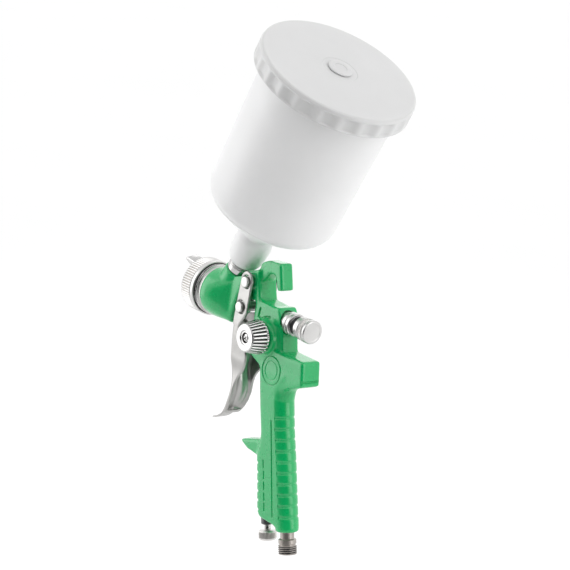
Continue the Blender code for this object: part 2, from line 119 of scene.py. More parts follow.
def bump(tree, shader, height, distance, strength=0.5):
    node = tree.nodes.new("ShaderNodeBump")
    node.inputs["Distance"].default_value = distance
    node.inputs["Strength"].default_value = strength
    tree.links.new(height, node.inputs["Height"])
    tree.links.new(node.outputs["Normal"], shader.inputs["Normal"])


def paint():
    material, tree, shader = new_material("gloss_green_paint", (0.001, 0.50, 0.14), 0.4)
    tint(tree, noise(tree, 45, 5), shader, (0.0008, 0.425, 0.116), (0.001, 0.465, 0.129))
    tree.links.new(spread(tree, noise(tree, 160, 3), 0.26, 0.30), shader.inputs["Roughness"])
    bump(tree, shader, noise(tree, 700, 2), 0.00003, 0.15)
    shader.inputs["Coat Weight"].default_value = 0.4
    shader.inputs["Coat Roughness"].default_value = 0.1
    return material


def metal(name, colour, roughness, worn):
    """Plated or machined metal: faint smudges in the gloss and a fine surface grain."""
    material, tree, shader = new_material(name, colour, roughness, 1.0)
    darker = tuple(0.88 * c for c in colour)
    tint(tree, noise(tree, 70, 4), shader, darker, colour)
    tree.links.new(spread(tree, noise(tree, 190, 5), roughness, worn), shader.inputs["Roughness"])
    bump(tree, shader, noise(tree, 260, 3), 0.00002, 0.3)
    return material


def plastic(name, low, high, roughness, subsurface):
    material, tree, shader = new_material(name, high, roughness)
    tint(tree, noise(tree, 24, 4), shader, low, high)
    tree.links.new(spread(tree, noise(tree, 90, 4), roughness - 0.05, roughness + 0.06),
                   shader.inputs["Roughness"])
    bump(tree, shader, noise(tree, 900, 2), 0.00003, 0.25)
    shader.inputs["Subsurface Weight"].default_value = subsurface
    shader.inputs["Subsurface Radius"].default_value = (0.006, 0.006, 0.0055)
    shader.inputs["Subsurface Scale"].default_value = 1.0
    return material


def rubber_material():
    material, tree, shader = new_material("black_rubber", (0.02, 0.02, 0.02), 0.6)
    tint(tree, noise(tree, 300, 4), shader, (0.014, 0.014, 0.014), (0.03, 0.03, 0.03))
    bump(tree, shader, noise(tree, 1200, 2), 0.00003)
    return material


GREEN = paint()
CHROME = metal("polished_chrome", (0.58, 0.575, 0.57), 0.14, 0.24)
PLATE_METAL = metal("nickel_plate", (0.43, 0.425, 0.415), 0.28, 0.36)
SATIN = metal("satin_chrome", (0.66, 0.655, 0.645), 0.3, 0.42)
BRIGHT = metal("bright_satin", (0.80, 0.78, 0.76), 0.4, 0.5)
# Dull nickel for the air inlet; in the ribs of the cap ring and the knobs it is darker metal laid in the
# hollows, as painted shade.
DULL_NICKEL_AND_GROOVE_SHADE = metal("dull_nickel_and_groove_shade", (0.45, 0.415, 0.385), 0.34, 0.48)
# Near-black metal for the roots of threads and flutes: painted shade in the grooves.
SHADED_GROOVE_METAL = metal("shadowed_metal", (0.07, 0.07, 0.072), 0.4, 0.6)
STEEL = metal("machined_steel", (0.56, 0.55, 0.54), 0.24, 0.38)
# Dark steel. On the packing nut and the valve bushing it paints the shade in the slot between head and rear
# body, and on the horn jets it paints the shade inside the air holes.
DARK_STEEL_AND_SHADE = metal("dark_steel", (0.16, 0.16, 0.165), 0.35, 0.5)
BRASS = metal("machined_brass", (0.72, 0.53, 0.26), 0.22, 0.36)
CUP_WHITE = plastic("cup_plastic", (0.83, 0.83, 0.83), (0.86, 0.86, 0.86), 0.4, 0.15)
# The lid is the cup's white plastic made darker, as painted shade for its lit top.
SHADED_LID_WHITE = plastic("lid_plastic", (0.67, 0.67, 0.67), (0.70, 0.70, 0.70), 0.42, 0.15)
NYLON = plastic("nylon", (0.70, 0.68, 0.60), (0.76, 0.74, 0.66), 0.5, 0.1)
BLACK = rubber_material()


# --- Mesh helpers -----------------------------------------------------------------------------------------

def at_origin(z=0.0):
    return Matrix.Translation((ORIGIN + Vector((0, 0, z))) * MM)


def along_x(z=0.0):
    """Local Z runs back along X."""
    return at_origin(z) @ Matrix.Rotation(math.pi / 2, 4, "Y")


def seated(seat, turn, axis):
    return Matrix.Translation((ORIGIN + Vector((seat[0], 0, seat[1]))) * MM) @ Matrix.Rotation(turn, 4, axis)


def along_left(seat):
    return seated(seat, math.pi / 2, "X")


def along_handle(seat):
    return seated(seat, math.pi - HANDLE_LEAN, "Y")


def along_cup():
    return seated(CUP_SEAT, CUP_TILT, "Y")


def linked(name, data):
    """A new object in the scene."""
    obj = bpy.data.objects.new(name, data)
    bpy.context.scene.collection.objects.link(obj)
    return obj


def build(name, bm, place, material):
    """Makes an object from a bmesh in millimetres under a placing matrix."""
    bmesh.ops.recalc_face_normals(bm, faces=bm.faces)
    bm.transform(place @ Matrix.Scale(MM, 4))
    mesh = bpy.data.meshes.new(name)
    bm.to_mesh(mesh)
    bm.free()
    mesh.materials.append(material)
    mesh.shade_smooth()
    return linked(name, mesh)


def put(obj, body, slot_name, *nodes):
    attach(obj, body)
    if nodes:
        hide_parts(*nodes)
    return obj


def soften(outline, radius=0.25):
    """Rounds the corners of an (r, h[, radius]) outline and adds support points so that flats stay flat."""
    closed = outline[0][0] > 0
    points = []
    count = len(outline)
    for i, corner in enumerate(outline):
        here = Vector(corner[:2])
        if not closed and i in (0, count - 1):
            points.append(here)
            continue
        before = Vector(outline[i - 1][:2])
        after = Vector(outline[(i + 1) % count][:2])
        back, ahead = before - here, after - here
        reach = min(corner[2] if len(corner) > 2 else radius, 0.42 * back.length, 0.42 * ahead.length)
        start, end = here + back.normalized() * reach, here + ahead.normalized() * reach
        pad = 0.2 * reach
        points.append(start + back.normalized() * pad)
        steps = 4 if reach < 1 else 9
        for k in range(steps + 1):
            t = k / steps
            points.append(start * (1 - t) ** 2 + here * 2 * t * (1 - t) + end * t ** 2)
        points.append(end + ahead.normalized() * pad)
    return points


def fill_in(points, low, high, step, closed=True):
    """Adds points along straight runs whose heights lie between low and high."""
    out = []
    pairs = list(zip(points, points[1:] + points[:1])) if closed else list(zip(points, points[1:]))
    for a, b in pairs:
        out.append(a)
        inside = min(a.y, b.y) >= low - 0.01 and max(a.y, b.y) <= high + 0.01
        cuts = int((b - a).length / step) if inside else 0
        out += [a.lerp(b, k / (cuts + 1)) for k in range(1, cuts + 1)]
    if not closed:
        out.append(points[-1])
    return out


def revolve(points, count, shape=None, cut=None):
    """A turned skin. shape(r, h, angle) gives the radius where it isn't round.

    Faces that it sinks deeper than cut get the second material, a darker one that paints shade in the
    grooves.
    """
    bm = bmesh.new()
    closed = points[0].x > 1e-6
    sunk = {}
    rings = []
    for point in points:
        if point.x < 1e-6:
            rings.append([bm.verts.new((0, 0, point.y))])
            continue
        ring = []
        for i in range(count):
            a = 2 * math.pi * i / count
            r = shape(point.x, point.y, a) if shape else point.x
            ring.append(bm.verts.new((r * math.cos(a), r * math.sin(a), point.y)))
            sunk[ring[-1]] = point.x - r
        rings.append(ring)
    pairs = list(zip(rings, rings[1:]))
    if closed:
        pairs.append((rings[-1], rings[0]))
    for a, b in pairs:
        for i in range(max(len(a), len(b))):
            corners = [a[i % len(a)], a[(i + 1) % len(a)], b[(i + 1) % len(b)], b[i % len(b)]]
            corners = list(dict.fromkeys(corners))
            if len(corners) > 2:
                face = bm.faces.new(corners)
                if cut is not None and sum(sunk.get(v, 0) for v in corners) / len(corners) > cut:
                    face.material_index = 1
    return bm


def turned(name, outline, place, material, count=72, radius=0.25, shape=None, fine=None, groove_shade=None):
    """groove_shade is (depth, material): what lies deeper than that in a rib or thread gets this darker
    material, as painted shade in the groove.
    """
    points = soften(outline, radius)
    if fine:
        points = fill_in(points, *fine, closed=outline[0][0] > 0)
    obj = build(name, revolve(points, count, shape, groove_shade and groove_shade[0]), place, material)
    if groove_shade:
        obj.data.materials.append(groove_shade[1])
    return obj


def thread(low, high, pitch, depth, least=0.0):
    """A helical thread cut into the outer skin between two heights."""
    def shape(r, h, a):
        if not low < h < high or r < least:
            return r
        phase = (h / pitch - a / (2 * math.pi)) % 1.0
        ends = min(1.0, (h - low) / 0.4, (high - h) / 0.4)
        return r - depth * ends * (1 - abs(2 * phase - 1)) ** 0.8
    return shape


def ribs(low, high, number, depth, least=0.0, sharp=1.0):
    """Grooves along the axis between two heights, cut into the outer skin."""
    def shape(r, h, a):
        if not low < h < high or r < least:
            return r
        ends = min(1.0, (h - low) / 0.5, (high - h) / 0.5)
        wave = 0.5 - 0.5 * math.cos(number * a)
        return r - depth * ends * wave ** sharp
    return shape


def hexagon(low, high, across, least=0.0):
    """Flats of a hexagon between two heights."""
    def shape(r, h, a):
        if not low < h < high or r < least:
            return r
        turn = (a % (math.pi / 3)) - math.pi / 6
        return min(r, across / 2 / math.cos(turn))
    return shape


def both(*shapes):
    def shape(r, h, a):
        for one in shapes:
            r = one(r, h, a)
        return r
    return shape


def prism(outline, low, high):
    """An (x, z) outline carried along Y."""
    bm = bmesh.new()
    ends = [[bm.verts.new((x, y, z)) for x, z in outline] for y in (low, high)]
    for end in ends:
        bm.faces.new(end)
    for i in range(len(outline)):
        j = (i + 1) % len(outline)
        bm.faces.new([ends[0][i], ends[0][j], ends[1][j], ends[1][i]])
    bmesh.ops.recalc_face_normals(bm, faces=bm.faces)
    return bm


def arc(centre, radius, start, end, steps):
    return [(centre[0] + radius * math.cos((start + (end - start) * i / steps) * DEGREES),
             centre[1] + radius * math.sin((start + (end - start) * i / steps) * DEGREES))
            for i in range(steps + 1)]


def evaluated_mesh(obj):
    graph = bpy.context.evaluated_depsgraph_get()
    return bpy.data.meshes.new_from_object(obj.evaluated_get(graph))


def settle(obj):
    """Applies the modifiers."""
    mesh = evaluated_mesh(obj)
    obj.modifiers.clear()
    obj.data = mesh
    mesh.shade_smooth()
    return obj


def cut_out(obj, cutters):
    """Cuts the solids out of the object, and removes them."""
    for cutter in cutters:
        modifier = obj.modifiers.new("cut", "BOOLEAN")
        modifier.object = cutter
        modifier.solver = "EXACT"
    bpy.context.view_layer.update()
    settle(obj)
    for cutter in cutters:
        bpy.data.objects.remove(cutter)


def fuse(obj, size):
    """One skin over overlapping solids."""
    modifier = obj.modifiers.new("fuse", "REMESH")
    modifier.mode = "VOXEL"
    modifier.voxel_size = size * MM
    return settle(obj)


def points_of(mesh):
    """Vertex positions in the design frame, in millimetres."""
    co = np.empty(len(mesh.vertices) * 3, np.float32)
    mesh.vertices.foreach_get("co", co)
    return co.reshape(-1, 3).astype(float) * PER_METRE - np.array(ORIGIN)


def set_points(mesh, co):
    mesh.vertices.foreach_set("co", ((co + np.array(ORIGIN)) * MM).astype(np.float32).ravel())
    mesh.update()


def relax(mesh, co, rounds, weight=None):
    """Moves every point towards the middle of its neighbours; weight says how far, point by point."""
    edges = np.empty(len(mesh.edges) * 2, np.int64)
    mesh.edges.foreach_get("vertices", edges)
    a, b = edges.reshape(-1, 2).T
    total = len(co)
    near = np.bincount(a, minlength=total) + np.bincount(b, minlength=total)
    share = 0.5 if weight is None else 0.5 * weight[:, None]
    for _ in range(rounds):
        middle = np.stack([np.bincount(a, co[b, k], total) + np.bincount(b, co[a, k], total)
                           for k in range(3)], 1)
        co = co + share * (middle / near[:, None] - co)
    return co


def distance_to(co, line):
    """Distance in the XZ plane from each point to a polyline."""
    best = np.full(len(co), 1e9)
    x, z = co[:, 0], co[:, 2]
    for (x0, z0), (x1, z1) in zip(line, line[1:]):
        dx, dz = x1 - x0, z1 - z0
        t = np.clip(((x - x0) * dx + (z - z0) * dz) / (dx * dx + dz * dz), 0, 1)
        best = np.minimum(best, np.hypot(x - x0 - t * dx, z - z0 - t * dz))
    return best


def refine(mesh, near):
    """Cuts the edges whose two ends both lie near a detail."""
    bm = bmesh.new()
    bm.from_mesh(mesh)
    bm.verts.ensure_lookup_table()
    edges = [e for e in bm.edges if near[e.verts[0].index] and near[e.verts[1].index]]
    bmesh.ops.subdivide_edges(bm, edges=edges, cuts=1, use_grid_fill=True)
    bm.to_mesh(mesh)
    bm.free()


def normals_of(mesh):
    out = np.empty(len(mesh.vertices) * 3, np.float32)
    mesh.vertices.foreach_get("normal", out)
    return out.reshape(-1, 3).astype(float)


# --- Casting ----------------------------------------------------------------------------------------------

BADGE = (75.3, -34.0)
BADGE_R = 9.8
SIDE_LINES = (  # (x, z) lines cut into both flat sides, with half width and depth
    ([(82.1, -67.2), (84.9, -79.5), (96.1, -130.6)], 0.42, 0.7),
    ([(55.0, 3.6), (53.8, -2.2), (57.2, -2.8), (62.0, -0.6), (66.5, 0.4)], 0.65, 1.2),
    ([(78.9, -96.1), (80.0, -101.2)], 0.42, 0.6),
    ([(80.9, -103.4), (82.0, -108.4)], 0.42, 0.6),
    ([(82.4, -110.6), (83.5, -115.6)], 0.42, 0.6),
    ([(84.0, -117.8), (85.2, -122.8)], 0.42, 0.6),
    ([(85.6, -124.6), (86.6, -129.6)], 0.42, 0.6),
)
BACK_GROOVES = 10
BACK_PITCH = 7.4
BACK_START = 68.5  # distance down the handle of the first groove
FRONT_GROOVES = 7
FRONT_PITCH = 6.4
FRONT_START = 100.5
RECESS = ((68.6, 69.8), (79.0, 83.2))  # x of its front and rear edge at the top and at the bottom
RECESS_Z = (-2.0, -20.0)
BACK_LINE = (  # z, x of the back of the grip
    (-45.0, 90.2), (-52.4, 89.2), (-72.0, 93.8), (-91.5, 99.5), (-111.0, 104.6), (-130.6, 109.7),
)
BACK_R = 8.2
BADGE_STEP = 3.4  # from the medallion's outer ring in to its inner ring
SHELF_GROOVE_Z = -32.6
COLLAR_R = 15.7
CASTING_GRAIN = 0.5  # voxel size of the casting's skin


def down_handle(co):
    """How far each point lies down the handle's axis, from the spray axis."""
    return (co[:, 0] - 60) * math.sin(HANDLE_LEAN) - co[:, 2] * math.cos(HANDLE_LEAN)


def detail_depths(co, normal):
    """How far each detail sinks the skin at each point, in millimetres."""
    depth = np.zeros(len(co))
    side = np.clip((np.abs(normal[:, 1]) - 0.75) / 0.2, 0, 1) * (np.abs(co[:, 1]) > 6.5)
    for line, half, deep in SIDE_LINES:
        depth = np.maximum(depth, side * deep * np.exp(-(distance_to(co, line) / half) ** 4))
    from_badge = np.hypot(co[:, 0] - BADGE[0], co[:, 2] - BADGE[1])
    depth = np.maximum(depth, side * 0.55 * np.exp(-((from_badge - BADGE_R) / 0.42) ** 4))
    depth = np.maximum(depth, side * 0.3 * np.exp(-((from_badge - BADGE_R + BADGE_STEP) / 0.35) ** 4))
    down = down_handle(co)
    back = np.clip((normal[:, 0] + 0.15) / 0.25, 0, 1) * (np.abs(normal[:, 1]) < 0.985)
    for i in range(BACK_GROOVES):
        middle = BACK_START + i * BACK_PITCH
        depth = np.maximum(depth, back * 0.5 * np.exp(-((down - middle) / 0.9) ** 2))
    rear = (normal[:, 0] > 0.5) * (co[:, 0] > 100) * (co[:, 2] > -45)
    depth = np.maximum(depth, rear * 1.0 * np.exp(-((co[:, 2] - SHELF_GROOVE_Z) / 0.7) ** 4))
    front = np.clip((-normal[:, 0] - 0.1) / 0.3, 0, 1) * (co[:, 2] < -92) * (np.abs(co[:, 1]) < 9)
    front = front * (co[:, 0] > 66) * (co[:, 2] > -133)
    for i in range(FRONT_GROOVES):
        middle = FRONT_START + i * FRONT_PITCH
        depth = np.maximum(depth, front * 0.6 * np.exp(-((down - middle) / 0.9) ** 4))
    return depth


def recess_depth(co):
    """The sloping recess behind the fan control, on the left side only."""
    x, z = co[:, 0], co[:, 2]
    share = np.clip((RECESS_Z[0] - z) / (RECESS_Z[0] - RECESS_Z[1]), 0, 1)
    front = RECESS[0][0] + share * (RECESS[0][1] - RECESS[0][0])
    rear = RECESS[1][0] + share * (RECESS[1][1] - RECESS[1][0])
    ends = np.clip((RECESS_Z[0] - z) / 1.0, 0, 1) * np.clip((z - RECESS_Z[1]) / 1.0, 0, 1)
    slope = np.clip((x - front) / (rear - front), 0, 1)
    return 1.7 * slope * ends * (co[:, 1] < -6) * (x < rear + 1)


def round_back(co):
    """Puts the back of the grip on its exact round."""
    z = co[:, 2]
    rear = np.interp(-z, [-point[0] for point in BACK_LINE], [point[1] for point in BACK_LINE])
    out, across = co[:, 0] - (rear - BACK_R), co[:, 1]
    reach = np.hypot(out, across)
    between_ends = np.clip((-47 - z) / 4, 0, 1) * np.clip((z + 130) / 4, 0, 1)
    weight = between_ends * (out > 0) * (np.abs(reach - BACK_R) < 1.6)
    scale = 1 + weight * (BACK_R / np.maximum(reach, 1e-6) - 1)
    co[:, 0] = rear - BACK_R + out * scale
    co[:, 1] = across * scale
    return co


def cup_column(co):
    """Which points lie on the cup boss, whose edges stay crisper than the head's."""
    lift, aside = co[:, 2] - CUP_SEAT[1], co[:, 0] - CUP_SEAT[0]
    up = aside * math.sin(CUP_TILT) + lift * math.cos(CUP_TILT)
    away = np.hypot(aside * math.cos(CUP_TILT) - lift * math.sin(CUP_TILT), co[:, 1])
    return (away < 12.8) & (up > -17) & (up < 0)


def draw_in_collar(co):
    """Makes the front of the head slim enough to pass inside the thread band."""
    reach = np.hypot(co[:, 1], co[:, 2])
    collar = (co[:, 0] < -3.2) & (reach > 14.9)
    shrink = np.where(collar, np.minimum(1.0, COLLAR_R / np.maximum(reach, 1e-6)), 1.0)
    co[:, 1] *= shrink
    co[:, 2] *= shrink
    return co


def near_detail(co, normal):
    """Where the skin needs a finer mesh."""
    side = (np.abs(normal[:, 1]) > 0.6) & (np.abs(co[:, 1]) > 6.0)
    near = np.zeros(len(co), bool)
    for line, half, _ in SIDE_LINES:
        near |= side & (distance_to(co, line) < half + 0.9)
    from_badge = np.hypot(co[:, 0] - BADGE[0], co[:, 2] - BADGE[1])
    near |= side & ((np.abs(from_badge - BADGE_R) < 1.2) | (np.abs(from_badge - BADGE_R + BADGE_STEP) < 1.1))
    down = down_handle(co)
    for i in range(BACK_GROOVES):
        near |= (normal[:, 0] > -0.3) & (co[:, 0] > 70) & (np.abs(down - BACK_START - i * BACK_PITCH) < 1.8)
    near |= (normal[:, 0] > 0.3) & (co[:, 0] > 100) & (np.abs(co[:, 2] - SHELF_GROOVE_Z) < 1.6)
    return near


def make_casting():
    """The cast body: the CAD solid with its corners smoothed and its cast lines and grooves sunk in."""
    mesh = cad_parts["gun_body"].data.copy()
    mesh.materials.clear()
    mesh.materials.append(GREEN)
    obj = linked("body_casting", mesh)
    fuse(obj, CASTING_GRAIN)
    mesh = obj.data
    co = points_of(mesh)
    column = cup_column(co)
    bore = (np.hypot(co[:, 1], co[:, 2]) < 15) & (co[:, 0] < 4)
    head = np.clip((27 - co[:, 0]) / 6, 0, 1) * ~(bore | column)
    grip = np.clip((-44 - co[:, 2]) / 5, 0, 1) * (co[:, 2] > -137)
    co = relax(mesh, co, 24, np.where(column, 0.25, 1.0))
    co = relax(mesh, co, 26, head)
    co = relax(mesh, co, 8, grip)
    co[:, 1] += recess_depth(co)
    co = relax(mesh, co, 3)
    co = relax(mesh, round_back(co), 2)
    set_points(mesh, draw_in_collar(co))
    refine(mesh, near_detail(co, normals_of(mesh)))
    co, normal = points_of(mesh), normals_of(mesh)
    co = co - normal * detail_depths(co, normal)[:, None]
    set_points(mesh, co)
    mesh.shade_smooth()
    put(obj, "gun", "green_paint", "gun_body")
    collar_line = [(15.9, -13.9), (18.05, -13.9), (18.05, -6.3), (16.9, -5.8), (16.9, -4.6), (17.2, -4.2),
                   (17.2, -3.2), (15.9, -3.2)]
    # The thread's roots take near-black metal as painted shade.
    put(turned("head_thread", collar_line, along_x(), SATIN, 120, 0.2, thread(-13.7, -6.6, 1.9, 0.8, 17.0),
               (-13.9, -6.3, 0.2), (0.3, SHADED_GROOVE_METAL)), "gun", "steel")


# --- Cup --------------------------------------------------------------------------------------------------

LID_RIBS = 24
SKIRT = (153.2, 163.2)  # heights between which the lid's skirt is ribbed


def lid_scallops(r, h, a):
    """Finger ribs round the lid's skirt: wide flats with narrow raised bars between them."""
    if r < 53.0 or not SKIRT[0] < h < SKIRT[1]:
        return r
    ends = min(1.0, (h - SKIRT[0]) / 1.2, (SKIRT[1] - h) / 1.2)
    wave = 0.5 + 0.5 * math.cos(LID_RIBS * a)
    return r - 1.5 * ends * (1 - wave ** 1.5)


def make_cup():
    outside = [(8.6, 0.95, 0.6), (10.9, 2.4, 1.6), (12.2, 5.6, 3), (13.2, 12.0, 4), (13.6, 18.0, 4),
               (12.9, 23.2, 2.5), (10.6, 26.6, 1.5), (18.0, 33.6, 5), (42.6, 49.7, 4), (45.5, 54.5, 4),
               (47.2, 150.5, 0.4), (47.2, 151.4, 0.3), (48.0, 151.7, 0.2), (48.0, 152.5, 0.2),
               (47.4, 152.8, 0.2), (47.4, 162.7, 0.3)]
    inside = [(45.6, 162.7, 0.3), (43.6, 55.0, 5), (42.0, 52.4, 4), (15.0, 34.4, 3), (7.1, 26.0, 2),
              (7.1, 0.95, 0.2)]
    put(turned("cup_shell", outside + inside, along_cup(), CUP_WHITE, 144),
        "cup", "white_plastic", "cup_body")
    lid = [(50.4, 152.95), (54.1, 152.95, 0.5), (54.1, 155.4, 0.5), (54.0, 163.4, 0.8), (53.3, 164.9, 0.9),
           (52.2, 165.6, 0.8), (12.5, 165.6, 0.4), (12.0, 165.4, 0.3), (3.3, 165.6), (3.3, 163.5),
           (49.7, 163.5), (50.4, 162.0)]
    put(turned("lid_shell", lid, along_cup(), SHADED_LID_WHITE, LID_RIBS * 12, shape=lid_scallops,
               fine=(152.9, 165.2, 0.7)), "lid", "white_plastic", "cup_lid")
    plug = [(0, 159.6), (1.5, 159.6), (2.5, 160.5), (2.5, 165.8), (8.4, 165.8), (8.4, 166.5, 0.4),
            (7.4, 166.9, 0.5), (4.6, 166.9), (4.2, 166.6), (0, 166.6)]
    put(turned("vent_cap", plug, along_cup(), SHADED_LID_WHITE, 72), "vent_plug", "white_plastic", "lid_vent_plug")
    joint = [(4.5, -19.9), (6.4, -19.9), (6.4, -5.9), (8.8, -5.9), (9.0, -5.4), (9.0, -1.6), (8.6, -1.3),
             (8.6, -0.9), (9.0, -0.6), (9.0, -0.1), (8.5, 0.4), (6.5, 0.4), (6.5, 13.9), (4.5, 13.9)]
    put(turned("cup_joint", joint, along_cup(), CHROME, 96, shape=thread(1.0, 13.4, 1.5, 0.45, 6.0),
               fine=(0.9, 13.5, 0.3)), "gun", "chrome", "fluid_inlet_joint")
    strainer = [(0, 43.9), (6.4, 43.9), (6.4, 14.5), (5.5, 14.5), (5.5, 42.9), (0, 42.9)]
    put(turned("paint_strainer", strainer, along_cup(), NYLON, 64, shape=ribs(16, 42, 16, 0.3, 6.0)),
        "cup", "nylon", "cup_filter")


# --- Head -------------------------------------------------------------------------------------------------

def make_head():
    ring = [(18.45, -9.25), (19.2, -9.25, 0.3), (19.55, -9.7), (19.55, -12.2), (19.2, -12.5), (19.2, -12.9),
            (19.55, -13.2), (19.55, -22.6), (19.1, -23.7), (18.2, -24.15), (17.4, -24.15), (17.4, -22.45),
            (18.45, -22.45)]
    # The knurl's hollows take darker nickel as painted shade.
    put(turned("cap_ring", ring, along_x(), SATIN, RING_RIBS * 8, 0.2,
               ribs(-23.4, -13.1, RING_RIBS, 0.9, 18.9, 1.6), (-23.2, -13.2, 0.6), (0.5, DULL_NICKEL_AND_GROOVE_SHADE)),
        "cap_ring", "chrome", "air_cap_ring")
    cap = [(2.55, -24.6), (7.0, -24.9, 1.5), (12.0, -24.3, 1.5), (16.4, -22.2, 0.6), (17.2, -22.15),
           (17.2, -18.4), (16.3, -18.4), (16.3, -19.8), (10.0, -22.0), (4.8, -22.8), (2.55, -23.6)]
    put(turned("air_cap_face", cap, along_x(), CHROME, 120), "cap", "chrome", "air_cap")
    for name, side in (("upper_horn", 1), ("lower_horn", -1)):
        outline = [(-22.9, 9.6), (-22.9, 15.7), (-25.5, 16.6), (-35.5, 17.9), (-37.4, 17.4), (-37.9, 15.8),
                   (-36.0, 14.6), (-27.5, 9.6)]
        bm = prism([(x, side * z) for x, z in outline], -4.3, 4.3)
        turn = Matrix.Rotation(HORN_TURN, 4, "X")
        obj = build(name, bm, at_origin() @ turn, CHROME)
        modifier = obj.modifiers.new("edges", "BEVEL")
        modifier.width = 0.9 * MM
        modifier.segments = 4
        modifier.limit_method = "ANGLE"
        settle(obj)
        put(obj, "cap", "chrome")
        for k, (x, z) in enumerate(((-30.6, 11.5), (-34.2, 13.5))):
            # Dark rings at the air holes: painted shade inside the holes.
            lip = [(0.55, 0.0), (1.0, 0.0), (1.0, 0.55), (0.55, 0.55)]
            tilt = Matrix.Rotation(HORN_TURN, 4, "X") @ Matrix.Translation((x * MM, 0, side * z * MM))
            tilt = tilt @ Matrix.Rotation(math.radians(158 if side > 0 else 22), 4, "Y")
            jet = turned(f"{name}_jet_{k + 1}", lip, at_origin() @ tilt, DARK_STEEL_AND_SHADE, 24, 0.1)
            put(jet, "cap", "chrome")
    nozzle = [(2.35, 3.4), (2.35, -19.5), (0.95, -22.5), (0.95, -24.7), (1.65, -24.7), (1.9, -23.4),
              (3.8, -21.2), (5.3, -19.7), (5.3, -18.9), (8.5, -18.9), (8.5, -17.0), (6.6, -17.0),
              (6.6, 3.4)]
    put(turned("fluid_tip", nozzle, along_x(), BRASS, 72, 0.15,
               both(thread(-14, 3, 1.0, 0.4, 6.0), hexagon(-19.0, -16.9, 15.2, 7.0)), (-14, 3.2, 0.2)),
        "gun", "brass", "fluid_nozzle")


# --- Needle line and air valve ----------------------------------------------------------------------------

def coil(name, low, high, mean, wire, turns, place):
    """A wound spring, its wire closed at both ends."""
    curve = bpy.data.curves.new(name, "CURVE")
    curve.dimensions = "3D"
    curve.bevel_depth = wire * MM
    curve.bevel_resolution = 3
    curve.use_fill_caps = True
    spline = curve.splines.new("POLY")
    steps = 28 * turns
    spline.points.add(steps)
    for i in range(steps + 1):
        t = i / steps
        a = 2 * math.pi * turns * t
        height = low + wire + (high - low - 2 * wire) * t
        spline.points[i].co = (mean * math.cos(a) * MM, mean * math.sin(a) * MM, height * MM, 1)
    obj = linked(name, curve)
    obj.matrix_world = place
    bpy.context.view_layer.update()
    mesh = evaluated_mesh(obj)
    mesh.transform(place)
    bpy.data.objects.remove(obj)
    mesh.materials.clear()
    mesh.materials.append(STEEL)
    mesh.shade_smooth()
    return linked(name, mesh)


def make_needle_line():
    needle = [(0, -25.3), (0.25, -25.2), (0.55, -24.6), (0.55, -22.8), (1.45, -18.8), (1.45, 41.5),
              (2.5, 41.5), (2.5, 45.5), (1.45, 45.5), (1.45, 83.4), (0, 83.4)]
    put(turned("needle_rod", needle, along_x(), STEEL, 40, 0.12), "needle", "steel", "fluid_needle")
    # The packing nut is dark steel to paint the shade of the slot it sits in.
    nut = [(1.95, 24.3), (3.3, 24.3), (3.3, 29.0), (4.25, 29.0), (4.25, 32.1), (1.95, 32.1)]
    put(turned("packing_nut", nut, along_x(), DARK_STEEL_AND_SHADE, 72, 0.15,
               both(thread(24.5, 28.8, 0.8, 0.3, 3.0), hexagon(28.9, 32.2, 7.4, 3.8)), (24.3, 29.0, 0.2)),
        "gun", "dark_steel", "needle_packing_nut")
    spring = put(coil("needle_return_spring", 75.6, 87.9, 3.6, 0.55, 6, along_x()),
                 "gun", "steel", "needle_spring")
    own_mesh(spring)
    sleeve = [(5.45, 70.5), (6.6, 70.5), (6.6, 79.4), (7.3, 79.4), (7.75, 79.9, 0.3), (7.75, 82.6),
              (7.35, 82.8), (7.35, 83.1), (7.75, 83.3), (7.75, 85.9, 0.3), (7.3, 86.4), (6.2, 86.4),
              (6.2, 93.9), (5.45, 93.9)]
    # The thread takes near-black metal below its crests, as painted shade.
    put(turned("needle_housing", sleeve, along_x(), SATIN, 84, 0.2, thread(86.5, 93.8, 1.0, 0.5, 5.9),
               (86.5, 93.9, 0.2), (0.02, SHADED_GROOVE_METAL)), "gun", "chrome", "needle_sleeve")
    knob = [(0, 96.7), (6.75, 96.7), (6.75, 91.6), (7.65, 91.6, 0.3), (7.65, 95.7, 0.3), (7.0, 96.0, 0.2),
            (7.0, 96.8, 0.2), (7.95, 97.1, 0.2), (7.95, 100.2, 0.2), (7.2, 100.5, 0.2), (7.2, 101.1, 0.2),
            (7.95, 101.4, 0.2), (7.95, 103.1, 0.5), (7.4, 103.65, 0.4), (6.2, 103.65), (5.9, 103.45),
            (0, 103.45)]
    # The ribs' hollows take darker nickel as painted shade.
    put(turned("fluid_knob_grip", knob, along_x(), SATIN, FLUID_RIBS * 8, 0.2,
               ribs(97.2, 100.1, FLUID_RIBS, 0.4, 7.6), (97.0, 100.3, 0.5), (0.22, DULL_NICKEL_AND_GROOVE_SHADE)),
        "fluid_knob", "chrome", "needle_knob")
    valve = along_x(AIR_VALVE_Z)
    # The bushing is dark steel to paint the shade of the slot it sits in.
    bushing = [(2.05, 43.0), (5.7, 43.0), (6.1, 43.4), (6.1, 44.6), (4.6, 44.6), (4.6, 47.1), (2.05, 47.1)]
    put(turned("valve_bushing", bushing, valve, DARK_STEEL_AND_SHADE, 72, 0.15, hexagon(42.9, 44.7, 11.2, 5.2)),
        "gun", "dark_steel", "air_valve_bushing")
    stem = [(0, 33.2), (0.9, 33.3, 0.4), (1.5, 34.2, 0.4), (1.5, 50.0), (4.1, 50.0), (4.1, 52.1),
            (1.4, 52.1), (1.4, 56.9), (0, 56.9)]
    put(turned("valve_stem", stem, valve, STEEL, 48, 0.12), "air_valve", "steel", "air_valve_stem")
    spring = put(coil("valve_return_spring", 52.7, 71.5, 3.2, 0.5, 8, valve),
                 "gun", "steel", "air_valve_spring")
    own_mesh(spring)


# --- Trigger ----------------------------------------------------------------------------------------------

